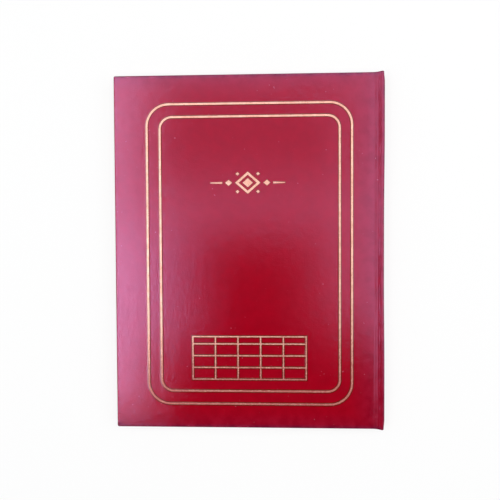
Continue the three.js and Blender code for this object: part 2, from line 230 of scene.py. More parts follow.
@dataclass(frozen=True)
class Leatherette:
    """Bookbinder's leatherette: paper coated with dyed vinyl and pressed with a fine leather grain.

    The coating gives the eye an even crimson with a broad soft sheen. The grain, its creases and
    the waver of the glued paper break that sheen up. Rims, the shoulder and the parts towards head,
    tail and spine are drawn darker, partly as soil and partly as painted shade, with paler worn
    patches.
    """

    dyed: str = "#9F0118"
    deeper: str = "#950116"
    rubbed: str = "#B8304F"
    # Partly soil, partly painted shade on rims, shoulder and towards head, tail and spine.
    soil_and_shade: str = "#4C0E30"
    dust: str = "#D08A9C"
    sheen_tint: str = "#FFC1FF"
    ior: float = 1.53
    roughness: Span = (0.09, 0.13)
    dull_span: Span = (0.3, 0.9)
    dulled_by_wear: float = 0.35
    cloud: float = 60 * MM
    mottle: float = 9 * MM
    mottle_span: Span = (0.35, 0.7)
    patch_span: Span = (0.4, 0.6)
    soil_and_shade_share: float = 0.75
    rubbed_share: float = 0.3
    speck: float = 2.2 * MM
    speck_span: Span = (0.785, 0.83)
    speck_share: float = 0.5
    relief: float = 0.012 * MM
    grain: float = 1.3 * MM
    pore_span: Span = (0.0, 0.22)
    crease: float = 2.6 * MM
    crease_share: float = 5.0
    waver: float = 6 * MM
    waver_share: float = 5.0

    def colour(self, add: Adder, place: Socket, wear: Socket) -> Socket:
        """Mix the dye's mottle, the soil and painted shade, the rubbed places and the dust.

        Args:
            add: adds a node to the material's tree.
            place: where each point is, in metres.
            wear: how worn each point is, and how much painted shade it takes.

        Returns:
            The colour.
        """
        mottle = add("TexNoise", {
            "Vector": place, "Scale": 1 / self.mottle, "Detail": 4.0, "Roughness": 0.6})
        patch = add("MapRange", {0: mottle, **stretch(self.patch_span, (0.0, self.rubbed_share))})
        # Dust is finer than this on the real cover, and is drawn coarser so that it shows.
        speck = add("TexNoise", {"Vector": place, "Scale": 1 / self.speck, "Detail": 1.0})
        dusty = add("MapRange", {0: speck, **stretch(self.speck_span, (0.0, self.speck_share))})
        layers = (
            (add("MapRange", {0: mottle, **stretch(self.mottle_span)}), self.dyed),
            # Soil and painted shade, as much as each point is marked for it.
            (add("Math", {0: wear, 1: self.soil_and_shade_share}, operation="MULTIPLY"), self.soil_and_shade),
            (add("Math", {0: wear, 1: patch}, operation="MULTIPLY"), self.rubbed),
            (dusty, self.dust),
        )
        colour: Any = linear(self.deeper)
        for share, tint in layers:
            colour = add("Mix", {0: share, FIRST: colour, SECOND: linear(tint)},
                         MIXED, data_type="RGBA")
        return colour

    def height(self, add: Adder, place: Socket) -> Socket:
        """Add up the pressed grain, its creases and the waver of the glued paper.

        Args:
            add: adds a node to the material's tree.
            place: where each point is, in metres.

        Returns:
            The height, in shares of the relief.
        """
        pores = add("TexVoronoi", {"Vector": place, "Scale": 1 / self.grain},
                    feature="DISTANCE_TO_EDGE")
        height = add("MapRange", {0: pores, **stretch(self.pore_span)})
        creases = add("TexNoise", {
            "Vector": place, "Scale": 1 / self.crease, "Detail": 5.0, "Roughness": 0.65})
        waver = add("TexNoise", {"Vector": place, "Scale": 1 / self.waver})
        for pattern, share in ((creases, self.crease_share), (waver, self.waver_share)):
            height = add("Math", {0: pattern, 1: share, 2: height}, operation="MULTIPLY_ADD")
        return height

    def material(self) -> Material:
        """Build the cover's material.

        Returns:
            The material.
        """
        material, add = blank_material("leatherette_crimson")
        place = pattern_place(add, Where.SHEET)
        wear = add("Attribute", output="Fac", attribute_name=WEAR_AND_SHADE)
        cloud = add("TexNoise", {"Vector": place, "Scale": 1 / self.cloud, "Detail": 3.0})
        dull = add("Math", {0: wear, 1: self.dulled_by_wear, 2: cloud}, operation="MULTIPLY_ADD")
        bump = add("Bump", {"Distance": self.relief, "Height": self.height(add, place)})
        finish_tree(material.node_tree, add("BsdfPrincipled", {
            "Base Color": self.colour(add, place, wear),
            "Roughness": add("MapRange", {0: dull, **stretch(self.dull_span, self.roughness)}),
            "IOR": self.ior,
            "Specular Tint": linear(self.sheen_tint),
            "Normal": bump,
        }))
        return material


@dataclass(frozen=True)
class GoldFoil:
    """Imitation gold foil, hot-stamped into the leatherette.

    It gives the eye a pale, slightly pink gold with a soft metal gleam. Small gaps let the red
    through. Towards the tail there are more of them: partly thinner foil, and partly painted shade
    for the dark room that the foil mirrors there.
    """

    foil: str = "#DEAC9A"
    bronzed: str = "#CC9684"
    gap: str = "#A01C26"
    roughness: float = 0.40
    metal: float = 0.86
    tone: float = 5 * MM
    tone_span: Span = (0.35, 0.65)
    gap_size: float = 0.8 * MM
    gap_span: Span = (0.57, 0.68)
    most_missing: float = 0.75
    # Towards the tail: partly thinner foil, partly painted shade for the dark room mirrored there.
    tail_shade_span: Span = (-58 * MM, -108 * MM)
    tail_shade_share: float = 0.20
    crinkle: float = 0.9 * MM
    relief: float = 0.03 * MM
    relief_share: float = 0.3

    def gaps_and_tail_shade(self, add: Adder, place: Socket) -> Socket:
        """Give how much of the foil is gone, with more towards the tail as painted shade.

        Args:
            add: adds a node to the material's tree.
            place: where each point is, in metres.

        Returns:
            The share that is gone, painted shade towards the tail included.
        """
        along = add("SeparateXYZ", {0: place}, "Y")
        # More gaps towards the tail: partly thinner foil, partly painted shade.
        thin = add("MapRange", {0: along, **stretch(self.tail_shade_span, (0.0, self.tail_shade_share))})
        # The real gaps are pinholes, drawn coarser so that they show.
        gaps = add("TexNoise", {"Vector": place, "Scale": 1 / self.gap_size})
        gaps = add("Math", {0: gaps, 1: thin}, operation="ADD")
        return add("MapRange", {0: gaps, **stretch(self.gap_span, (0.0, self.most_missing))})

    def material(self) -> Material:
        """Build the foil's material.

        Returns:
            The material.
        """
        material, add = blank_material("gold_foil")
        place = pattern_place(add, Where.NODE)
        gaps_and_tail_shade = self.gaps_and_tail_shade(add, place)
        tone = add("TexNoise", {"Vector": place, "Scale": 1 / self.tone, "Detail": 3.0})
        tone = add("MapRange", {0: tone, **stretch(self.tone_span)})
        gold = add("Mix", {0: tone, FIRST: linear(self.bronzed), SECOND: linear(self.foil)},
                   MIXED, data_type="RGBA")
        crinkle = add("TexNoise", {"Vector": place, "Scale": 1 / self.crinkle, "Detail": 3.0})
        finish_tree(material.node_tree, add("BsdfPrincipled", {
            "Base Color": add("Mix", {0: gaps_and_tail_shade, FIRST: gold, SECOND: linear(self.gap)},
                              MIXED, data_type="RGBA"),
            "Metallic": add("MapRange", {
                0: gaps_and_tail_shade, **stretch((0.0, self.most_missing), (self.metal, 0.0))}),
            "Roughness": self.roughness,
            "Normal": add("Bump", {
                "Strength": self.relief_share, "Distance": self.relief, "Height": crinkle}),
        }))
        return material


@dataclass(frozen=True)
class PaintedRimShade:
    """Painted shade round each foil line, where it is pressed into the leatherette: a glossy olive
    brown.
    """

    rim_shade: str = "#66090A"
    olive: str = "#641C0C"
    sheen_tint: str = "#FFCCE0"
    ior: float = 1.53
    roughness: float = 0.14
    blotch: float = 2 * MM
    blotch_span: Span = (0.4, 0.6)

    def material(self) -> Material:
        """Build the rim's material.

        Returns:
            The material.
        """
        material, add = blank_material("foil_rim_painted_shade")
        place = pattern_place(add, Where.NODE)
        blotch = add("TexNoise", {"Vector": place, "Scale": 1 / self.blotch})
        blotch = add("MapRange", {0: blotch, **stretch(self.blotch_span)})
        finish_tree(material.node_tree, add("BsdfPrincipled", {
            "Base Color": add("Mix", {
                0: blotch, FIRST: linear(self.rim_shade), SECOND: linear(self.olive)},
                MIXED, data_type="RGBA"),
            "Roughness": self.roughness,
            "IOR": self.ior,
            "Specular Tint": linear(self.sheen_tint),
        }))
        return material


@dataclass(frozen=True)
class Ruling:
    """Account ruling in printing ink: pale blue rows under a head margin, and red columns.

    The lines are about twice as wide as printed ones, so that they show.
    """

    page_half: float
    head_margin: float = 30 * MM
    row: float = 8 * MM
    columns: tuple[float, ...] = (-84 * MM, -66 * MM, 8 * MM, 34 * MM, 60 * MM)
    line: float = 0.32 * MM
    row_ink: str = "#8FB2CC"
    row_strength: float = 0.8
    column_ink: str = "#C9606A"
    column_strength: float = 0.85

    def printed(self, add: Adder, place: Socket, paper: Socket) -> Socket:
        """Rule rows and columns on the paper.

        Args:
            add: adds a node to the material's tree.
            place: where each point is, in metres.
            paper: the bare paper's colour.

        Returns:
            The ruled paper's colour.
        """
        across = add("SeparateXYZ", {0: place}, "X")
        along = add("SeparateXYZ", {0: place}, "Y")
        off = add("Math", {0: along, 1: self.row / 2, 2: -self.row / 2}, operation="WRAP")
        off = add("Math", {0: off}, operation="ABSOLUTE")
        row = add("Math", {0: off, 1: self.line / 2}, operation="LESS_THAN")
        top = self.page_half - self.head_margin
        below = add("Math", {0: along, 1: top}, operation="LESS_THAN")
        row = add("Math", {0: row, 1: below}, operation="MULTIPLY")
        row = add("Math", {0: row, 1: self.row_strength}, operation="MULTIPLY")
        column: Any = 0.0
        for x in self.columns:
            off = add("Math", {0: across, 1: x}, operation="SUBTRACT")
            off = add("Math", {0: off}, operation="ABSOLUTE")
            upright = add("Math", {0: off, 1: self.line / 2}, operation="LESS_THAN")
            column = add("Math", {0: column, 1: upright}, operation="MAXIMUM")
        column = add("Math", {0: column, 1: self.column_strength}, operation="MULTIPLY")
        for share, ink in ((row, self.row_ink), (column, self.column_ink)):
            paper = add("Mix", {0: share, FIRST: paper, SECOND: linear(ink)}, MIXED, data_type="RGBA")
        return paper


@dataclass(frozen=True)
class Paper:
    """Uncoated paper, rolled from pulp: dead matt, with the fibres as a faint mottle.

    Where many leaves are stacked, their cut edges show as fine, uneven, slightly darker layers,
    partly the edges' own tone and partly painted shade between the leaves.
    """

    name: str = "endpaper_offset"
    white: str = "#F8F5EE"
    shade: str = "#EFEADF"
    cut: str = "#CFC6B2"
    where: Where = Where.NODE
    ruling: Ruling | None = None
    mottle: float = 6 * MM
    mottle_span: Span = (0.3, 0.7)
    mottle_share: float = 0.6
    layer: float = 0.42 * MM
    layer_span: Span = (0.35, 0.68)
    layer_stretch: float = 0.02
    facing_span: Span = (0.35, 0.5)
    roughness: float = 0.78
    specular: float = 0.3
    relief: float = 0.05 * MM
    relief_share: float = 0.2

    def edges(self, add: Adder, place: Socket, flat: Socket) -> Socket:
        """Colour the faces that stand upright as stacked, cut leaves, with painted shade between them.

        Args:
            add: adds a node to the material's tree.
            place: where each point is, in metres.
            flat: the colour of the faces that lie flat.

        Returns:
            The colour of both.
        """
        # A real leaf is about a quarter as thick: the layers are drawn coarser so that they show.
        drawn_out = (self.layer_stretch, self.layer_stretch, 1.0)
        layers = add("TexNoise", {
            "Vector": add("Mapping", {"Vector": place, "Scale": drawn_out}),
            "Scale": 1 / self.layer, "Detail": 3.0, "Roughness": 0.75})
        layers = add("MapRange", {0: layers, **stretch(self.layer_span)})
        # Darker layers: partly the edges' own tone, partly painted shade between the leaves.
        edge = add("Mix", {0: layers, FIRST: linear(self.cut), SECOND: linear(self.white)},
                   MIXED, data_type="RGBA")
        upward = add("SeparateXYZ", {0: add("NewGeometry", output="Normal")}, "Z")
        upward = add("Math", {0: upward}, operation="ABSOLUTE")
        facing = add("MapRange", {0: upward, **stretch(self.facing_span)})
        return add("Mix", {0: facing, FIRST: edge, SECOND: flat}, MIXED, data_type="RGBA")

    def material(self) -> Material:
        """Build the paper's material.

        Returns:
            The material.
        """
        material, add = blank_material(self.name)
        place = pattern_place(add, self.where)
        mottle = add("TexNoise", {
            "Vector": place, "Scale": 1 / self.mottle, "Detail": 5.0, "Roughness": 0.7})
        shaded = add("MapRange", {
            0: mottle, **stretch(self.mottle_span, (0.0, self.mottle_share))})
        colour = add("Mix", {0: shaded, FIRST: linear(self.white), SECOND: linear(self.shade)},
                     MIXED, data_type="RGBA")
        if self.ruling:
            colour = self.ruling.printed(add, place, colour)
        if self.where is Where.NODE:
            colour = self.edges(add, place, colour)
        finish_tree(material.node_tree, add("BsdfPrincipled", {
            "Base Color": colour,
            "Roughness": self.roughness,
            "Specular IOR Level": self.specular,
            "Normal": add("Bump", {
                "Strength": self.relief_share, "Distance": self.relief, "Height": mottle}),
        }))
        return material


@dataclass(frozen=True)
class Greyboard:
    """Bookbinder's board, pressed from waste paper: dull grey-brown, with dark flecks of print."""

    base: str = "#8E877B"
    fleck: str = "#5F594F"
    fleck_size: float = 1.2 * MM
    fleck_span: Span = (0.55, 0.7)
    roughness: float = 0.92
    specular: float = 0.2
    felt: float = 0.7 * MM
    relief: float = 0.1 * MM
    relief_share: float = 0.4

    def material(self) -> Material:
        """Build the board's material.

        Returns:
            The material.
        """
        material, add = blank_material("greyboard")
        place = pattern_place(add, Where.NODE)
        flecks = add("TexNoise", {
            "Vector": place, "Scale": 1 / self.fleck_size, "Detail": 4.0, "Roughness": 0.7})
        flecks = add("MapRange", {0: flecks, **stretch(self.fleck_span)})
        felt = add("TexNoise", {"Vector": place, "Scale": 1 / self.felt, "Detail": 3.0})
        finish_tree(material.node_tree, add("BsdfPrincipled", {
            "Base Color": add("Mix", {0: flecks, FIRST: linear(self.base), SECOND: linear(self.fleck)},
                              MIXED, data_type="RGBA"),
            "Roughness": self.roughness,
            "Specular IOR Level": self.specular,
            "Normal": add("Bump", {
                "Strength": self.relief_share, "Distance": self.relief, "Height": felt}),
        }))
        return material


@dataclass(frozen=True)
class WovenCloth:
    """Plain-woven cotton mull, wound silk or linen thread: two sets of matt yarns that cross.

    The eye sees pale yarns over darker hollows, whose darkness is painted shade, and on the bands
    stripes of a second colour. Yarns and stripes are drawn coarser than the real ones so that they
    show.
    """

    name: str
    yarn: str
    hollow: str
    spacing: float
    stripe: float = 0.0
    stripe_yarn: str = "#F0E6D2"
    unevenness: float = 0.6
    yarn_span: Span = (0.3, 0.7)
    stripe_span: Span = (0.45, 0.55)
    roughness: float = 0.8
    relief: float = 0.1 * MM
    relief_share: float = 0.6

    def material(self) -> Material:
        """Build the cloth's material.

        Returns:
            The material.
        """
        material, add = blank_material(self.name)
        place = pattern_place(add, Where.NODE)
        waves = [
            add("TexWave", {"Vector": place, "Scale": WAVE_PERIOD / self.spacing,
                            "Distortion": self.unevenness}, "Fac", bands_direction=axis)
            for axis in ("Y", "Z")
        ]
        woven = add("Math", {0: waves[0], 1: waves[1]}, operation="MAXIMUM")
        raised = add("MapRange", {0: woven, **stretch(self.yarn_span)})
        # The darker hollows between the yarns are painted shade.
        colour = add("Mix", {0: raised, FIRST: linear(self.hollow), SECOND: linear(self.yarn)},
                     MIXED, data_type="RGBA")
        if self.stripe:
            bands = add("TexWave", {"Vector": place, "Scale": WAVE_PERIOD / self.stripe},
                        "Fac", bands_direction="Z")
            bands = add("MapRange", {0: bands, **stretch(self.stripe_span)})
            colour = add("Mix", {0: bands, FIRST: colour, SECOND: linear(self.stripe_yarn)},
                         MIXED, data_type="RGBA")
        finish_tree(material.node_tree, add("BsdfPrincipled", {
            "Base Color": colour,
            "Roughness": self.roughness,
            "Normal": add("Bump", {
                "Strength": self.relief_share, "Distance": self.relief, "Height": woven}),
        }))
        return material


@dataclass(frozen=True)
class Layout:
    """Places on the closed book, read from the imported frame."""

    thickness: float
    fore_edge: float
    spine_face: float
    board_half: float
    spine_half: float
    board_edge: float
    cover_depth: float
    crown: float
    shoulder_drop: float
    hinge: float
    page_half: float

    @classmethod
    def of_frame(cls, frame: dict[str, Any]) -> "Layout":
        """Read the places from the nodes' boxes and the front cover's joint.

        Args:
            frame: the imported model.

        Returns:
            The places.
        """
        cloth_low, cloth_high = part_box("front_cover_cloth")
        spine_low, spine_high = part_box("spine_cloth")
        _, joint_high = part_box("front_joint_cloth")
        _, leaf_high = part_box("leaf_01")
        joint = next(item for item in frame["joints"] if item["name"] == "front_cover_open")
        return cls(
            thickness=cloth_high[2],
            fore_edge=cloth_low[0],
            spine_face=spine_high[0],
            board_half=cloth_high[1],
            spine_half=spine_high[1],
            board_edge=cloth_high[0],
            cover_depth=cloth_high[2] - cloth_low[2],
            crown=joint_high[0],
            shoulder_drop=spine_low[2],
            hinge=joint["pos_m"][0],
            page_half=leaf_high[1],
        )


def block_of(low: Sequence[float], high: Sequence[float]) -> Mesh:
    """Make a box between two corners.

    Args:
        low: the lowest corner.
        high: the highest corner.

    Returns:
        The box's mesh.
    """
    mesh = bmesh.new()
    bmesh.ops.create_cube(mesh, size=1.0)
    bmesh.ops.scale(mesh, vec=Vector(high) - Vector(low), verts=mesh.verts)
    bmesh.ops.translate(mesh, vec=(Vector(high) + Vector(low)) / 2, verts=mesh.verts)
    return mesh


def cut_across(mesh: Mesh, axis: int, places: Iterable[float]) -> None:
    """Cut a mesh's faces along planes square to an axis, so that it can bend there.

    Args:
        mesh: the mesh to cut.
        axis: 0, 1 or 2 for X, Y or Z.
        places: where on the axis the planes stand.
    """
    for place in places:
        point = Vector((0.0, 0.0, 0.0))
        point[axis] = place
        normal = Vector((0.0, 0.0, 0.0))
        normal[axis] = 1.0
        everything = [*mesh.verts, *mesh.edges, *mesh.faces]
        bmesh.ops.bisect_plane(mesh, geom=everything, plane_co=point, plane_no=normal, dist=MERGED)


def add_part(mesh: Mesh, part: Mesh) -> None:
    """Put a second mesh into a first one.

    Args:
        mesh: the mesh that grows.
        part: the mesh that goes into it, which is freed.
    """
    scrap = bpy.data.meshes.new("part")
    part.to_mesh(scrap)
    part.free()
    mesh.from_mesh(scrap)
    bpy.data.meshes.remove(scrap)


def object_of(mesh: Mesh, name: str, *materials: Material) -> Piece:
    """Turn a mesh into an object at the origin that remembers where its points lie at rest.

    Args:
        mesh: the finished shape, which is freed.
        name: the piece's name.
        materials: its materials, in the order of the faces' material numbers.

    Returns:
        The object.
    """
    layers = mesh.verts.layers.float_vector
    rest = layers.get(REST_PLACE) or layers.new(REST_PLACE)
    for vertex in mesh.verts:
        vertex[rest] = vertex.co
    for face in mesh.faces:
        face.smooth = True
    data = bpy.data.meshes.new(name)
    mesh.to_mesh(data)
    mesh.free()
    data.set_sharp_from_angle(angle=CRISP)
    piece = bpy.data.objects.new(name, data)
    bpy.context.scene.collection.objects.link(piece)
    for material in materials:
        data.materials.append(material)
    return piece


@dataclass(frozen=True)
class WearAndShade:
    """How worn each point of the cover is, and how much painted shade darkens it, from 0 to 1.

    Rims, corners and the shoulder are partly worn and partly painted shade, and the darkening
    towards head, tail and spine is painted shade. The spans say where each part fades: at the ends,
    the fore edge, the corners and, wider, towards head and tail by the distance from the edge, at the
    shoulder from the crown, towards the spine across the book, and on the inside by the share of the
    cover's depth.
    """

    # Ends, fore edge and corners: partly worn and soiled, partly painted shade.
    end: float = 0.95
    end_span: Span = (0.9 * MM, 2.8 * MM)
    fore: float = 0.3
    fore_span: Span = (0.3 * MM, 2.2 * MM)
    corner_span: Span = (1 * MM, 9 * MM)
    # The shoulder: partly worn, partly painted shade.
    shoulder: float = 0.9
    shoulder_span: Span = (-1.5 * MM, 0.5 * MM)
    # Darker towards head and tail: painted shade.
    painted_end_shade: float = 0.3
    painted_end_shade_span: Span = (1 * MM, 16 * MM)
    # Darker towards the spine: painted shade.
    painted_spine_side_shade: float = 0.35
    painted_spine_side_shade_span: Span = (78 * MM, 104 * MM)
    inner_share: float = 0.2
    outer_span: Span = (0.3, 0.9)

    def at(self, layout: Layout, place: Vector) -> float:
        """Give how worn and how shaded a point is drawn: rims more than faces, corners and the shoulder
        most.

        Args:
            layout: the book's places.
            place: the point, with the cover's outer face at height 0.

        Returns:
            How worn and how shaded, from 0 to 1.
        """
        x, y, depth = place
        to_fore = x - layout.fore_edge
        to_end = layout.board_half - abs(y)
        outer = 1 - eased(depth / layout.cover_depth, *self.outer_span)
        return max(outer, self.inner_share) * max(
            self.end * (1 - eased(to_end, *self.end_span)),
            self.fore * (1 - eased(to_fore, *self.fore_span)),
            1 - eased(math.hypot(to_fore, to_end), *self.corner_span),
            self.shoulder * eased(x - layout.crown, *self.shoulder_span),
            self.painted_end_shade * (1 - eased(to_end, *self.painted_end_shade_span)),
            self.painted_spine_side_shade * eased(x, *self.painted_spine_side_shade_span),
        )


@dataclass(frozen=True)
class Station:
    """One line of the cover's way from the board over the joint to the spine.

    x and depth are the outer face's place, lean is the inward normal's angle from straight in,
    layers is how deep the cloth and what it wraps are, and half is half the height there.
    """

    x: float
    depth: float
    lean: float
    layers: float
    half: float


@dataclass
class CoverSkin:
    """The leatherette of one cover, in one piece from fore edge to the middle of the spine.

    It is built with its outer face at depth 0, and turned over for the front cover.
    """

    layout: Layout
    side: Side
    # How worn each point is, and where painted shade darkens it.
    wear_and_shade_plan: WearAndShade = WearAndShade()
    cloth: float = 0.4 * MM
    turn_in: float = 15 * MM
    turned_step: float = 3 * MM
    corner: float = 1.25 * MM
    corner_steps: int = 3
    rim: float = 0.7 * MM
    rim_steps: int = 4
    rim_flat: float = 0.3 * MM
    across_step: float = 5 * MM
    along_step: float = 2.4 * MM
    swell: float = 0.10 * MM
    swell_length: float = 75 * MM
    swell_fade: float = 10 * MM
    groove_depth: float = 0.9 * MM
    groove_fall: float = 3.4 * MM
    groove_rise: float = 2.8 * MM
    groove_step: float = 0.32 * MM
    groove_lean: float = 0.6
    crease_wander: float = 0.45 * MM
    crease_length: float = 17 * MM
    crease_levels: tuple[float, float] = (0.0, 9.0)
    pucker: float = 0.07 * MM
    pucker_length: Spot = (2.4 * MM, 6 * MM)
    pucker_fade: float = 2 * MM
    board_fall: float = 1.4 * MM
    double_cloth: float = 0.83 * MM
    spine_layers: float = 1.86 * MM
    shoulder_round: float = 1.2 * MM
    shoulder_steps: int = 6
    spine_step: float = 1.2 * MM
    end_pinch: float = 0.62 * MM
    end_reach: float = 9.0 * MM
    sag: float = 0.52 * MM
    sag_span: Span = (25 * MM, 100 * MM)
    press_start: float = 2 * MM
    bend_width: float = 2.2 * MM
    front_seed: float = 3.7
    back_seed: float = 11.9

    @property
    def seed(self) -> float:
        """Give each side its own place in the noise, so that their waves differ."""
        return self.front_seed if self.side is Side.FRONT else self.back_seed

    def swell_at(self, x: float, y: float) -> float:
        """Give how far the board's face stands off its plane at a point, in depth.

        Args:
            x: the point's place across the book.
            y: the point's place along the book.

        Returns:
            The depth, above or below 0.
        """
        spot = Vector((x / self.swell_length, y / self.swell_length, self.seed))
        fade = eased(self.layout.board_edge - x, 0.0, self.swell_fade)
        return self.swell * noise.noise(spot) * fade

    def pinch_at(self, y: float) -> float:
        """Give how far the hollow spine is pressed in: at its ends and, less, in its middle.

        Args:
            y: the place along the book.

        Returns:
            The distance.
        """
        half = self.layout.spine_half
        sunk = self.sag * (1 - eased(abs(y), *self.sag_span))
        return self.end_pinch * eased(abs(y), half - self.end_reach, half) + sunk

    def groove_at(self, x: float, y: float) -> float:
        """Give the depth of the joint's outer face at a point, with its wandering creases.

        Args:
            x: the point's place across the book.
            y: the point's place along the book.

        Returns:
            The depth.
        """
        layout = self.layout
        inner, outer = (
            self.crease_wander * noise.noise(Vector((y / self.crease_length, self.seed, level)))
            for level in self.crease_levels
        )
        start = layout.board_edge
        rise = layout.hinge - self.groove_rise / 2 + outer
        fall = eased(x, start, start + self.groove_fall + inner)
        lift = eased(x, rise, rise + self.groove_rise)
        short, long = self.pucker_length
        puckers = noise.noise(Vector((x / short, y / long, self.seed)))
        fade_in = eased(x, start, start + self.pucker_fade)
        fade_out = 1 - eased(x, layout.crown - self.pucker_fade, layout.crown)
        drop = self.groove_depth - layout.shoulder_drop
        return self.groove_depth * fall - drop * lift + self.pucker * puckers * fade_in * fade_out

    def over_joint(self) -> list[Station]:
        """List the lines from the board's edge over the joint to the crown of the shoulder.

        Returns:
            The lines.
        """
        layout = self.layout
        probe = 0.05 * MM
        found = []
        for x in [*evenly(layout.board_edge, layout.crown, self.groove_step), layout.crown]:
            slope = (self.groove_at(x + probe, 0.0) - self.groove_at(x - probe, 0.0)) / (2 * probe)
            thin = eased(x, layout.board_edge, layout.board_edge + self.board_fall)
            layers = layout.cover_depth + (self.double_cloth - layout.cover_depth) * thin
            share = eased(x, layout.board_edge, layout.crown)
            half = layout.board_half + (layout.spine_half - layout.board_half) * share
            lean = math.atan(slope) * self.groove_lean
            found.append(Station(x, self.groove_at(x, 0.0), lean, layers, half))
        return found

    def round_spine(self) -> list[Station]:
        """List the lines round the shoulder and down to the spine's middle.

        Returns:
            The lines.
        """
        layout = self.layout
        radius = self.shoulder_round
        start = layout.shoulder_drop + radius
        found = []
        for number in range(1, self.shoulder_steps + 1):
            share = number / self.shoulder_steps
            turn = math.pi / 2 * number / self.shoulder_steps
            x = layout.spine_face - radius + radius * math.sin(turn)
            layers = self.double_cloth + (self.spine_layers - self.double_cloth) * share
            depth = start - radius * math.cos(turn)
            found.append(Station(x, depth, turn, layers, layout.spine_half))
        middle = layout.thickness / 2
        for depth in [*evenly(start, middle, self.spine_step), middle]:
            found.append(Station(layout.spine_face, depth, math.pi / 2, self.spine_layers,
                                 layout.spine_half))
        return found

    def board_part(self) -> Mesh:
        """Wrap the board: a rounded tray, open to the spine and inside its turned-in edges.

        Returns:
            The tray's mesh, without thickness.
        """
        layout = self.layout
        half = layout.board_half
        depth = layout.cover_depth
        mesh = block_of((layout.fore_edge, -half, 0.0), (layout.board_edge, half, depth))
        spine_side = max(mesh.faces, key=lambda face: face.calc_center_median().x)
        bmesh.ops.delete(mesh, geom=[spine_side], context="FACES_ONLY")
        corners = [
            edge for edge in mesh.edges
            if all(vertex.co.x < layout.fore_edge + NEAR for vertex in edge.verts)
            and abs(edge.verts[0].co.y - edge.verts[1].co.y) < NEAR
        ]
        bmesh.ops.bevel(mesh, geom=corners, offset=self.corner, segments=self.corner_steps,
                        profile=0.5, affect="EDGES", material=-1)
        wrapped = [
            edge for edge in mesh.edges
            if not edge.is_boundary and abs(edge.verts[0].co.z - edge.verts[1].co.z) < NEAR
        ]
        bmesh.ops.bevel(mesh, geom=wrapped, offset=self.rim, segments=self.rim_steps,
                        profile=0.5, affect="EDGES", material=-1, clamp_overlap=True)
        fore_flat = layout.fore_edge + self.rim + self.rim_flat
        fore_turned = layout.fore_edge + self.turn_in
        end_flat = half - self.rim - self.rim_flat
        end_turned = half - self.turn_in
        cut_across(mesh, 0, [fore_flat, fore_turned])
        cut_across(mesh, 1, [-end_flat, -end_turned, end_turned, end_flat])
        open_inside = [
            face for face in mesh.faces
            if face.calc_center_median().z > depth - NEAR
            and abs(face.calc_center_median().y) < end_turned
            and face.calc_center_median().x > fore_turned
        ]
        bmesh.ops.delete(mesh, geom=open_inside, context="FACES")
        cut_across(mesh, 0, evenly(fore_turned, layout.board_edge, self.across_step))
        cut_across(mesh, 0, evenly(fore_flat, fore_turned, self.turned_step))
        cut_across(mesh, 1, evenly(-end_turned, end_turned, self.along_step))
        cut_across(mesh, 1, evenly(end_turned, end_flat, self.along_step))
        cut_across(mesh, 1, evenly(-end_flat, -end_turned, self.along_step))
        return mesh

    def run_to_spine(self, mesh: Mesh) -> None:
        """Draw the tray's open side out over the joint and shoulder to the spine's middle.

        Args:
            mesh: the tray, which grows.
        """
        layout = self.layout
        along = mesh.verts.layers.float.new("along")
        inward = mesh.verts.layers.float.new("inward")
        for vertex in mesh.verts:
            vertex[along] = vertex.co.y
            vertex[inward] = vertex.co.z
        at_edge = layout.board_edge - NEAR
        edges = [edge for edge in mesh.edges if all(vertex.co.x > at_edge for vertex in edge.verts)]
        for station in self.over_joint() + self.round_spine():
            drawn = bmesh.ops.extrude_edge_only(mesh, edges=edges)["geom"]
            fresh = {item for item in drawn if isinstance(item, bmesh.types.BMVert)}
            edges = [
                item for item in drawn
                if isinstance(item, bmesh.types.BMEdge) and item.is_boundary
                and all(vertex in fresh for vertex in item.verts)
            ]
            pressed = eased(station.x, layout.crown - self.press_start, layout.spine_face)
            for vertex in fresh:
                y = vertex[along] * station.half / layout.board_half
                inner = vertex[inward] * station.layers / layout.cover_depth
                # The creases wander only up to the crown, and past it each line is straight.
                depth = station.depth
                if station.x < layout.crown:
                    depth = self.groove_at(station.x, y)
                vertex.co.x = station.x - math.sin(station.lean) * inner - self.pinch_at(y) * pressed
                vertex.co.y = y
                vertex.co.z = depth + math.cos(station.lean) * inner

    def build(self, leatherette: Material) -> list[Piece]:
        """Build the skin.

        Args:
            leatherette: the cover's material.

        Returns:
            The skin.
        """
        layout = self.layout
        mesh = self.board_part()
        self.run_to_spine(mesh)
        for vertex in mesh.verts:
            if vertex.co.x < layout.board_edge and vertex.co.z < layout.cover_depth / 2:
                vertex.co.z += self.swell_at(vertex.co.x, vertex.co.y)
        bmesh.ops.remove_doubles(mesh, verts=mesh.verts, dist=MERGED)
        bmesh.ops.recalc_face_normals(mesh, faces=mesh.faces)
        outermost = min(mesh.faces, key=lambda face: face.calc_center_median().z)
        if outermost.normal.z > 0:
            bmesh.ops.reverse_faces(mesh, faces=mesh.faces)
        # How worn each point is, and how much painted shade darkens it.
        wear = mesh.verts.layers.float.new(WEAR_AND_SHADE)
        for vertex in mesh.verts:
            vertex[wear] = self.wear_and_shade_plan.at(layout, vertex.co)
        bmesh.ops.solidify(mesh, geom=mesh.faces, thickness=self.cloth)
        height = 0.0
        if self.side is Side.FRONT:
            height = layout.thickness
            turn = Matrix.Translation((0, 0, height)) @ Matrix.Rotation(math.pi, 4, "X")
            bmesh.ops.transform(mesh, matrix=turn, verts=mesh.verts)
        name = self.side.value
        skin = object_of(mesh, f"{name}_cover_skin", leatherette)
        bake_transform(skin)
        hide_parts(f"{name}_cover_cloth", f"{name}_joint_cloth", "spine_cloth")
        return [skin]


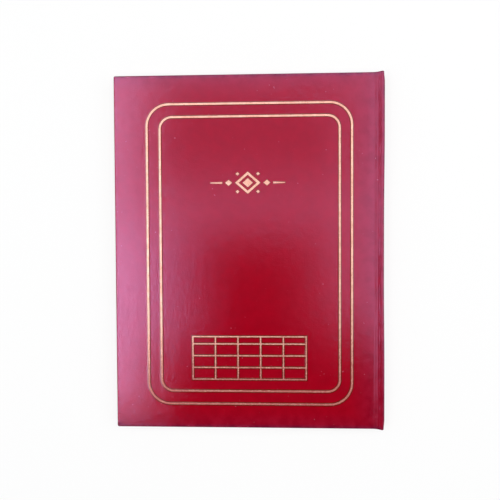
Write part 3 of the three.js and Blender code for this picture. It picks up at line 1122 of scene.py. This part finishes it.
@dataclass
class SpineStrip:
    """The strip of thin board that stiffens the spine, pressed in with the cloth round it."""

    skin: CoverSkin
    rim: float = 0.35 * MM
    rim_steps: int = 2
    end_step: float = 0.9 * MM
    middle_step: float = 5.4 * MM

    def build(self, greyboard: Material) -> list[Piece]:
        """Build the strip in its node's place.

        Args:
            greyboard: the strip's material.

        Returns:
            The strip.
        """
        low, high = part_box("spine_strip")
        mesh = block_of(low, high)
        bmesh.ops.bevel(mesh, geom=mesh.edges[:], offset=self.rim, segments=self.rim_steps,
                        profile=0.5, affect="EDGES", material=-1)
        reach = high[1] - self.skin.end_reach
        for end in (-1, 1):
            cut_across(mesh, 1, evenly(end * reach, end * high[1], self.end_step))
        cut_across(mesh, 1, evenly(-reach, reach, self.middle_step))
        for vertex in mesh.verts:
            vertex.co.x -= self.skin.pinch_at(vertex.co.y)
        piece = object_of(mesh, "spine_board", greyboard)
        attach(piece, "text_block")
        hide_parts("spine_strip")
        return [piece]


@dataclass
class FoilWork:
    """Gold foil pressed into the front cover: a double frame, an ornament and a ruled table."""

    skin: CoverSkin
    lift: float = 0.05 * MM
    edge_lift: float = 0.01 * MM
    cell: float = 2.5 * MM
    wobble: float = 0.06 * MM
    wobble_length: float = 3.1 * MM
    wobble_levels: tuple[float, float] = (5.0, 12.0)
    rim: float = 0.82 * MM
    line: float = 3.2 * MM
    round_steps: int = 24
    outer_low: Spot = (-83.4 * MM, -125.1 * MM)
    outer_high: Spot = (84.0 * MM, 121.4 * MM)
    outer_round: float = 18 * MM
    inner_low: Spot = (-72.7 * MM, -114.4 * MM)
    inner_high: Spot = (74.1 * MM, 111.0 * MM)
    inner_round: float = 10 * MM
    table_low: Spot = (-48 * MM, -106 * MM)
    table_high: Spot = (48 * MM, -68 * MM)
    table_columns: int = 5
    table_rows: int = 3
    table_header: float = 6 * MM
    table_line: float = 2.7 * MM
    ornament_place: Spot = (-0.6 * MM, 57 * MM)
    ornament_reach: float = 31 * MM
    ornament_line: float = 2.6 * MM
    ornament_rim: float = 0.38 * MM
    lozenge: Spot = (10.925 * MM, 9.5 * MM)
    core: Spot = (4.75 * MM, 4.18 * MM)
    bead: Spot = (3.4 * MM, 2.89 * MM)
    bead_gap: float = 1.36 * MM
    corner_place: Spot = (8.36 * MM, 7.22 * MM)
    corner_bead: Spot = (2.108 * MM, 1.87 * MM)
    rule_halves: Spot = (1.15 * MM, 0.7 * MM)

    def hollow(self, mesh: Mesh, width: float) -> None:
        """Turn each face into a line of a width just inside its edge.

        Args:
            mesh: the flat faces.
            width: the line's width.
        """
        inside = bmesh.ops.inset_individual(mesh, faces=mesh.faces[:], thickness=width,
                                            use_even_offset=True)
        rings = set(inside["faces"])
        bmesh.ops.delete(mesh, geom=[face for face in mesh.faces if face not in rings], context="FACES")

    def rounded_ring(self, low: Spot, high: Spot, radius: float) -> Mesh:
        """Draw a line round a rectangle with rounded corners, centred on its edge.

        Args:
            low: the rectangle's lower left corner.
            high: its upper right corner.
            radius: the corners' radius, to the line's middle.

        Returns:
            The flat ring.
        """
        grow = self.line / 2
        mesh = bmesh.new()
        bmesh.ops.create_grid(mesh, x_segments=1, y_segments=1, size=0.5)
        size = (high[0] - low[0] + self.line, high[1] - low[1] + self.line, 1.0)
        bmesh.ops.scale(mesh, vec=size, verts=mesh.verts)
        centre = ((low[0] + high[0]) / 2, (low[1] + high[1]) / 2, 0.0)
        bmesh.ops.translate(mesh, vec=centre, verts=mesh.verts)
        bmesh.ops.bevel(mesh, geom=mesh.verts[:], offset=radius + grow, segments=self.round_steps,
                        profile=0.5, affect="VERTICES", material=-1)
        self.hollow(mesh, self.line)
        return mesh

    def filled(self, corners: Sequence[Spot]) -> Mesh:
        """Fill the outline through a few corners.

        Args:
            corners: the corners, against the clock.

        Returns:
            The flat face.
        """
        mesh = bmesh.new()
        mesh.faces.new([mesh.verts.new((x, y, 0.0)) for x, y in corners])
        mesh.normal_update()
        return mesh

    def diamond(self, centre: Spot, halves: Spot) -> Mesh:
        """Fill a diamond about a centre.

        Args:
            centre: its middle.
            halves: half its width and half its height.

        Returns:
            The flat diamond.
        """
        x, y = centre
        wide, high = halves
        return self.filled([(x - wide, y), (x, y - high), (x + wide, y), (x, y + high)])

    def ornament(self) -> list[Mesh]:
        """Draw a lozenge in a lozenge, between small diamonds and tapering rules.

        Returns:
            The flat parts.
        """
        x, y = self.ornament_place
        outer = self.diamond((x, y), self.lozenge)
        self.hollow(outer, self.ornament_line)
        parts = [outer, self.diamond((x, y), self.core)]
        thick, thin = self.rule_halves
        for sign in (-1, 1):
            middle = x + sign * (self.lozenge[0] + self.bead[0] + self.bead_gap)
            parts.append(self.diamond((middle, y), self.bead))
            near = middle + sign * (self.bead[0] + self.bead_gap)
            far = x + sign * self.ornament_reach
            taper = [(near, y - thick), (far, y - thin), (far, y + thin), (near, y + thick)]
            parts.append(self.filled(taper[::sign]))
            for up in (-1, 1):
                corner = (x + sign * self.corner_place[0], y + up * self.corner_place[1])
                parts.append(self.diamond(corner, self.corner_bead))
        return parts

    def table(self) -> Mesh:
        """Draw a plain ruled table with a low header row.

        Returns:
            The flat grid of lines.
        """
        line = self.table_line
        (left, foot), (right, top) = self.table_low, self.table_high
        header = top - line - self.table_header
        uprights = [left + (right - left - line) * number / self.table_columns
                    for number in range(self.table_columns + 1)]
        levels = [foot + (header - foot) * number / self.table_rows
                  for number in range(self.table_rows + 1)]
        levels.append(top - line)
        mesh = self.filled([(left, foot), (right, foot), (right, top), (left, top)])
        for axis, starts in ((0, uprights), (1, levels)):
            cut_across(mesh, axis, [edge for start in starts for edge in (start, start + line)])
        cells = []
        for face in mesh.faces:
            x, y, _ = face.calc_center_median()
            on_upright = any(start < x < start + line for start in uprights)
            on_level = any(start < y < start + line for start in levels)
            if not on_upright and not on_level:
                cells.append(face)
        bmesh.ops.delete(mesh, geom=cells, context="FACES")
        return mesh

    def pressed(self, mesh: Mesh, rim: float) -> Mesh:
        """Give flat lines their rims of painted shade and their thickness, and lay them on the uneven
        cover.

        Args:
            mesh: the flat lines.
            rim: the rims' width.

        Returns:
            The same mesh.
        """
        bmesh.ops.recalc_face_normals(mesh, faces=mesh.faces)
        if sum(face.normal.z for face in mesh.faces) < 0:
            bmesh.ops.reverse_faces(mesh, faces=mesh.faces)
        rims = bmesh.ops.inset_region(mesh, faces=mesh.faces[:], thickness=rim, use_boundary=True,
                                      use_even_offset=True)["faces"]
        # The rims take the painted shade round each line.
        for face in rims:
            face.material_index = 1
        for axis in (0, 1):
            spots = [vertex.co[axis] for vertex in mesh.verts]
            cut_across(mesh, axis, evenly(min(spots), max(spots), self.cell))
        edge = {vertex for item in mesh.edges if item.is_boundary for vertex in item.verts}
        for vertex in mesh.verts:
            x, y, _ = vertex.co
            shakes = [noise.noise(Vector((x / self.wobble_length, y / self.wobble_length, level)))
                      for level in self.wobble_levels]
            vertex.co.x += self.wobble * shakes[0]
            vertex.co.y += self.wobble * shakes[1]
            rise = self.edge_lift if vertex in edge else self.lift
            vertex.co.z = self.skin.layout.thickness - self.skin.swell_at(x, -y) + rise
        bmesh.ops.solidify(mesh, geom=mesh.faces, thickness=self.lift)
        return mesh

    def build(self, foil: Material, rim_shade: Material) -> list[Piece]:
        """Build the foil pieces, which ride on the front cover.

        Args:
            foil: the lines' material.
            rim_shade: their rims' material, painted shade round each line.

        Returns:
            The two frames, the ornament and the table.
        """
        ornament = bmesh.new()
        for part in self.ornament():
            add_part(ornament, self.pressed(part, self.ornament_rim))
        outer = self.rounded_ring(self.outer_low, self.outer_high, self.outer_round)
        inner = self.rounded_ring(self.inner_low, self.inner_high, self.inner_round)
        shapes = {
            "foil_frame_outer": self.pressed(outer, self.rim),
            "foil_frame_inner": self.pressed(inner, self.rim),
            "foil_ornament": ornament,
            "foil_table": self.pressed(self.table(), self.rim),
        }
        pieces = [object_of(mesh, name, foil, rim_shade) for name, mesh in shapes.items()]
        for piece in pieces:
            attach(piece, "front_cover")
        return pieces


@dataclass
class LeafSheets:
    """The flyleaves and the first leaves, each a flat sheet, cut finely near the gutter."""

    layout: Layout
    curl: float = 16 * MM
    fine_step: float = 0.8 * MM
    coarse_step: float = 12 * MM
    lying: float = 0.5

    def sheet(self, node: str, material: Material) -> Piece:
        """Build one sheet in its node's place, reaching to the hinge line.

        Args:
            node: the node that it stands for, whose name is its body's too.
            material: the sheet's material.

        Returns:
            The sheet.
        """
        low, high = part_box(node)
        root = self.layout.hinge
        curl_end = root - self.curl
        mesh = block_of(low, (root, high[1], high[2]))
        cut_across(mesh, 0, evenly(root, curl_end, self.fine_step))
        cut_across(mesh, 0, [curl_end, *evenly(curl_end, low[0], self.coarse_step)])
        piece = object_of(mesh, f"{node}_sheet", material)
        # The sheet's broad faces are smooth, and its thin cut edges are flat.
        for face in piece.data.polygons:
            face.use_smooth = abs(face.normal.z) > self.lying
        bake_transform(piece)
        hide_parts(node)
        return piece

    def build(self, endpaper: Material, page: Material, leaves: Iterable[str]) -> list[Piece]:
        """Build both flyleaves and every turning leaf.

        Args:
            endpaper: the flyleaves' material.
            page: the leaves' material.
            leaves: the leaves' nodes.

        Returns:
            The sheets.
        """
        flyleaves = [self.sheet(f"{side.value}_flyleaf", endpaper) for side in Side]
        return flyleaves + [self.sheet(node, page) for node in leaves]


@dataclass
class JointLinings:
    """What crosses each joint inside the cover: the endpaper, and the mull under it."""

    nodes: dict[str, Piece]
    bend_width: float = 1.4 * MM
    bend_reach: float = 3 * MM
    step: float = 0.35 * MM

    def strip(self, side: Side, lining: str, name: str, material: Material) -> Piece:
        """Make a piece from a merged copy of its node's mesh, cut finely enough to bend.

        Args:
            side: the cover that it leads to.
            lining: what it is, as in its node's name.
            name: what it is, as in the piece's name.
            material: its material.

        Returns:
            The strip.
        """
        node = f"{side.value}_joint_{lining}"
        mesh = bmesh.new()
        mesh.from_mesh(self.nodes[node].data)
        bmesh.ops.remove_doubles(mesh, verts=mesh.verts, dist=NEAR)
        low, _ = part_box(node)
        cut_across(mesh, 0, evenly(low[0], low[0] + self.bend_reach, self.step))
        piece = object_of(mesh, f"{side.value}_joint_{name}", material)
        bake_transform(piece)
        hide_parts(node)
        return piece

    def build(self, endpaper: Material, mull: Material) -> list[Piece]:
        """Build the strips of both joints.

        Args:
            endpaper: the endpaper's material.
            mull: the mull's material.

        Returns:
            The strips.
        """
        pieces = []
        for side in Side:
            pieces.append(self.strip(side, "paper", "endpaper", endpaper))
            pieces.append(self.strip(side, "mull", "weave", mull))
        return pieces


@dataclass
class EndBands:
    """Head and tail band: a bead wound with silk, on a tape glued down the spine.

    The windings are thicker than real silk, so that they show.
    """

    radius: float = 0.9 * MM
    sides: int = 14
    winding: float = 0.5 * MM
    rib: float = 0.07 * MM
    rib_profile: tuple[float, ...] = (0.0, 1.0, 1.0, 0.0)
    tape: float = 0.25 * MM

    def bead(self, centre: Vector, length: float) -> Mesh:
        """Draw a ribbed round bead up from a centre.

        Args:
            centre: the middle of its lower end.
            length: how far it runs along Z.

        Returns:
            The closed bead.
        """
        mesh = bmesh.new()
        ring = bmesh.ops.create_circle(mesh, cap_ends=True, segments=self.sides, radius=self.radius)
        bmesh.ops.translate(mesh, vec=centre, verts=ring["verts"])
        front = mesh.faces[:]
        windings = int(length / self.winding)
        turns = len(self.rib_profile)
        step = length / windings / turns
        for number in range(windings * turns):
            drawn = bmesh.ops.extrude_face_region(mesh, geom=front)["geom"]
            bmesh.ops.delete(mesh, geom=front, context="FACES_ONLY")
            front = [item for item in drawn if isinstance(item, bmesh.types.BMFace)]
            fresh = [item for item in drawn if isinstance(item, bmesh.types.BMVert)]
            bmesh.ops.translate(mesh, vec=(0, 0, step), verts=fresh)
            reach = self.radius - self.rib * (1 - self.rib_profile[(number + 1) % turns])
            for vertex in fresh:
                arm = Vector((vertex.co.x - centre.x, vertex.co.y - centre.y)).normalized()
                vertex.co.x = centre.x + arm.x * reach
                vertex.co.y = centre.y + arm.y * reach
        bmesh.ops.holes_fill(mesh, edges=mesh.edges, sides=0)
        return mesh

    def band(self, node: str, silk: Material) -> Piece:
        """Build one band in its node's place.

        Args:
            node: the node that it stands for.
            silk: the band's material.

        Returns:
            The band.
        """
        low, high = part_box(node)
        at_head = high[1] > 0
        outer = high[1] - self.radius if at_head else low[1] + self.radius
        inner = low[1] if at_head else high[1]
        mesh = self.bead(Vector((high[0] - self.radius, outer, low[2])), high[2] - low[2])
        add_part(mesh, block_of((high[0] - self.tape, min(inner, outer), low[2]),
                                (high[0], max(inner, outer), high[2])))
        bmesh.ops.recalc_face_normals(mesh, faces=mesh.faces)
        piece = object_of(mesh, f"{node}_bead", silk)
        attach(piece, "text_block")
        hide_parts(node)
        return piece

    def build(self, silk: Material) -> list[Piece]:
        """Build both bands."""
        return [self.band(node, silk) for node in ("headband", "tailband")]


@dataclass
class KeptNodes:
    """The solids that keep their own shape: boards, paper, sections, mull, lining and sewing."""

    nodes: dict[str, Piece]
    subparts: Sequence[dict[str, str]]

    def build(self, materials: dict[str, Material]) -> None:
        """Give every node the material of its slot.

        Args:
            materials: each slot's material.
        """
        for entry in self.subparts:
            data = self.nodes[entry["node"]].data
            data.materials.clear()
            data.materials.append(materials[entry["material_slot"]])


@dataclass(frozen=True)
class Panel:
    """A soft light panel, seen in plan: two corners in metres, and how bright and what it looks."""

    name: str
    low: Spot
    high: Spot
    radiance: float
    tint: str = "#FFFFFF"


@dataclass
class Studio:
    """A pale table, soft panels for the windows, walls and ceiling of a bright room, and the camera.

    The panels hang in one plane. Their places are where the cover mirrors them to the camera.
    """

    camera_place: Place = (34.3 * MM, 24.4 * MM, 615.3 * MM)
    camera_turn: Place = (-2.154, 3.176, -0.302)
    camera_clip: float = 0.01
    lens: float = 52.767
    sensor: float = 36.0
    table: str = "#F4F4F4"
    table_half: float = 3.0
    table_drop: float = 0.15 * MM
    table_glow: float = 0.82
    table_roughness: float = 0.9
    table_specular: float = 0.1
    air: str = "#FFFFFF"
    air_span: Span = (0.12, 0.8)
    air_strength: Span = (0.9, 0.03)
    ceiling: float = 1.2
    panels: tuple[Panel, ...] = (
        Panel("window_left_low", (-0.48, -0.45), (-0.360, 0.0), 12.5),
        Panel("window_left_high", (-0.48, 0.0), (-0.360, 0.47), 10.0),
        Panel("wall_left", (-1.2, -0.45), (-0.48, 0.47), 1.5),
        Panel("low_left", (-0.360, -0.267), (-0.228, 0.01), 4.4, "#C4EAF6"),
        Panel("ceiling_near", (-0.347, 0.01), (0.12, 0.112), 2.6),
        Panel("ceiling_middle", (-0.347, 0.112), (0.194, 0.379), 0.8),
        Panel("ceiling_far", (-0.347, 0.379), (0.194, 0.772), 3.3),
        Panel("low_right", (0.12, -0.23), (0.194, 0.112), 2.2),
        Panel("window_right", (0.194, -0.253), (0.391, 0.648), 3.1),
        Panel("wall_right", (0.391, -0.42), (1.5, 0.74), 2.6),
    )

    def lamp(self, panel: Panel) -> None:
        """Hang a panel at ceiling height, facing down.

        Args:
            panel: the panel.
        """
        width, depth = (high - low for low, high in zip(panel.low, panel.high))
        light = bpy.data.lights.new(panel.name, "AREA")
        light.shape = "RECTANGLE"
        light.size = width
        light.size_y = depth
        light.energy = math.pi * width * depth * panel.radiance
        light.color = linear(panel.tint)[:3]
        piece = bpy.data.objects.new(panel.name, light)
        x, y = ((low + high) / 2 for low, high in zip(panel.low, panel.high))
        piece.location = (x, y, self.ceiling)
        bpy.context.scene.collection.objects.link(piece)

    def camera(self) -> None:
        """Stand the camera where the photograph was taken from, as the cover's corners show it."""
        data = bpy.data.cameras.new("camera")
        data.lens = self.lens
        data.sensor_width = self.sensor
        data.clip_start = self.camera_clip
        piece = bpy.data.objects.new("camera", data)
        piece.location = self.camera_place
        piece.rotation_euler = [math.radians(angle) for angle in self.camera_turn]
        bpy.context.scene.collection.objects.link(piece)
        bpy.context.scene.camera = piece

    def floor(self) -> None:
        """Lay a matt white table under the book, which the camera and glossy surfaces see paler."""
        material, add = blank_material("pale_table")
        matt = add("BsdfPrincipled", {
            "Base Color": linear(self.table), "Roughness": self.table_roughness,
            "Specular IOR Level": self.table_specular})
        glow = add("Emission", {"Strength": 1.0})
        seen: Any = 0.0
        for ray in ("Camera", "Glossy", "Transmission"):
            seen = add("Math", {0: seen, 1: add("LightPath", output=f"Is {ray} Ray")},
                       operation="MAXIMUM")
        share = add("Math", {0: seen, 1: self.table_glow}, operation="MULTIPLY")
        finish_tree(material.node_tree, add("MixShader", {0: share, 1: matt, 2: glow}))
        mesh = bmesh.new()
        bmesh.ops.create_grid(mesh, x_segments=1, y_segments=1, size=self.table_half)
        bmesh.ops.translate(mesh, vec=(0, 0, -self.table_drop), verts=mesh.verts)
        object_of(mesh, "table_top", material)

    def world(self) -> None:
        """Light the room evenly, from pale at the horizon to dark overhead."""
        world = bpy.data.worlds.new("room")
        world.use_nodes = True
        tree = world.node_tree
        tree.nodes.clear()
        direction = add_node(tree, "TexCoord", output="Generated")
        height = add_node(tree, "SeparateXYZ", {0: direction}, "Z")
        strength = add_node(tree, "MapRange", {0: height, **stretch(self.air_span, self.air_strength)})
        shader = add_node(tree, "Background", {"Color": linear(self.air), "Strength": strength})
        finish_tree(tree, shader, "OutputWorld")
        bpy.context.scene.world = world

    def build(self) -> None:
        """Set up the whole studio."""
        bpy.context.scene.view_settings.view_transform = "Standard"
        self.camera()
        self.floor()
        self.world()
        for panel in self.panels:
            self.lamp(panel)


def main() -> None:
    """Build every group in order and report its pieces."""
    logging.basicConfig(level=logging.INFO, format="%(name)s %(message)s")
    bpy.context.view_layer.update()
    nodes = FRAME["nodes"]
    layout = Layout.of_frame(FRAME)
    ledger_page = partial(Paper, white="#F6F1E4", shade="#EEE6D6", ruling=Ruling(layout.page_half))
    page_sheet = ledger_page(name="ledger_paper_sheet", where=Where.SHEET).material()
    materials = {
        "cover_cloth": Leatherette().material(),
        "greyboard": Greyboard().material(),
        "endpaper": Paper().material(),
        "page": ledger_page(name="ledger_paper_block").material(),
        "mull": WovenCloth("mull", yarn="#ECE7DA", hollow="#B9AF9B", spacing=1.1 * MM).material(),
        "kraft": Paper(name="kraft_lining", white="#B08A5B", shade="#9C774A").material(),
        "band": WovenCloth("band_silk", yarn="#B2203A", hollow="#7A1226", spacing=0.35 * MM,
                           stripe=2.0 * MM).material(),
        "thread": WovenCloth("linen_thread", yarn="#EFE8D4", hollow="#CFC4A8",
                             spacing=0.3 * MM).material(),
    }
    KeptNodes(nodes, FRAME["record"]["subparts"]).build(materials)
    front = CoverSkin(layout, Side.FRONT)
    back = CoverSkin(layout, Side.BACK)
    pieces = front.build(materials["cover_cloth"]) + back.build(materials["cover_cloth"])
    pieces += SpineStrip(front).build(materials["greyboard"])
    pieces += FoilWork(front).build(GoldFoil().material(), PaintedRimShade().material())
    leaves = sorted(node for node in nodes if node.startswith("leaf_"))
    pieces += LeafSheets(layout).build(materials["endpaper"], page_sheet, leaves)
    pieces += JointLinings(nodes).build(materials["endpaper"], materials["mull"])
    pieces += EndBands().build(materials["band"])
    for piece in pieces:
        log.info("%s: %d faces", piece.name, len(piece.data.polygons))
    Studio().build()


if __name__ == "__main__":
    main()
